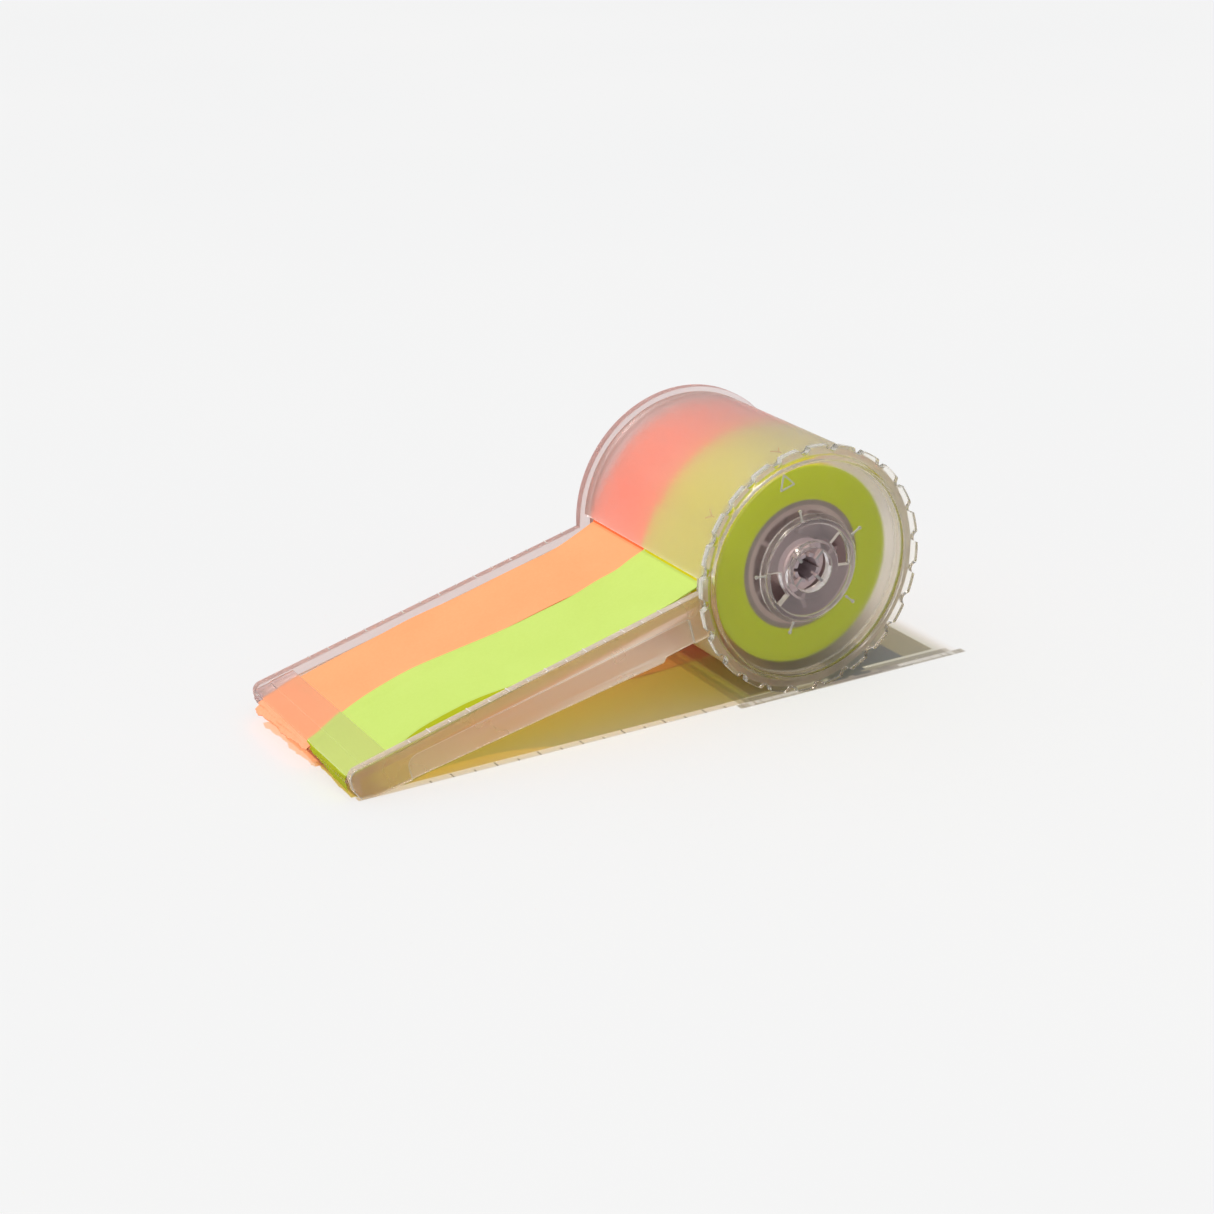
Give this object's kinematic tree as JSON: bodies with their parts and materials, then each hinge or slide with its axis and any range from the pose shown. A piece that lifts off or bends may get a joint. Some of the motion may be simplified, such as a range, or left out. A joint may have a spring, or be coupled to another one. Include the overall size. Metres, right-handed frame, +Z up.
{
  "type": "note tape dispenser",
  "caption": "Hand-held translucent dispenser for rolls of note tape: a drum with a grip cap and free-turning reels, a sloping ruled arm, and a clear bar that the tapes are torn at.",
  "frame": {"origin": "middle of the footprint on the table, at table height", "axes": "+Z up, the ruled arm points along -X and its tapes leave that way, +Y points from the grip cap to the plain far side; the reels turn about Y"},
  "size_m": [0.1495, 0.059, 0.06],
  "materials": {
    "case_plastic": "frosted translucent moulding",
    "clear_plastic": "clear moulding, fine satin",
    "hub_plastic": "frosted translucent moulding",
    "reel_plastic": "satin moulding",
    "scale_mark": "raised moulded tick",
    "core_card": "wound card",
    "yellow_paper": "fluorescent matt paper",
    "orange_paper": "fluorescent matt paper"
  },
  "bodies": {
    "case": {"drum_shell": "case_plastic", "far_side_plate": "case_plastic", "near_arm_wall": "case_plastic", "arm_bed": "case_plastic", "front_bar": "clear_plastic", "tear_comb": "clear_plastic", "far_scale_ticks": "scale_mark", "near_scale_ticks": "scale_mark", "spindle": "hub_plastic", "yellow_tape_tail": "yellow_paper", "orange_tape_tail": "orange_paper"},
    "yellow_reel": {"yellow_reel_bush": "reel_plastic", "yellow_roll_core": "core_card", "yellow_tape_roll": "yellow_paper"},
    "orange_reel": {"orange_reel_bush": "reel_plastic", "orange_roll_core": "core_card", "orange_tape_roll": "orange_paper"},
    "hub": {"cap_hub": "hub_plastic"},
    "cap": {"side_cap": "clear_plastic"}
  },
  "joints": [
    {"name": "yellow_reel_spin", "type": "hinge", "parent": "case", "child": "yellow_reel", "pos_m": [0.0447, 0.0012, 0.03], "axis": [0, 1, 0], "continuous": true},
    {"name": "orange_reel_spin", "type": "hinge", "parent": "case", "child": "orange_reel", "pos_m": [0.0447, 0.0012, 0.03], "axis": [0, 1, 0], "continuous": true},
    {"name": "cap_pull", "type": "slide", "parent": "case", "child": "hub", "axis": [0, -1, 0], "range_m": [0, 0.08]},
    {"name": "cap_turn", "type": "hinge", "parent": "hub", "child": "cap", "pos_m": [0.0447, 0.0012, 0.03], "axis": [0, -1, 0], "range_deg": [0, 30]}
  ]
}
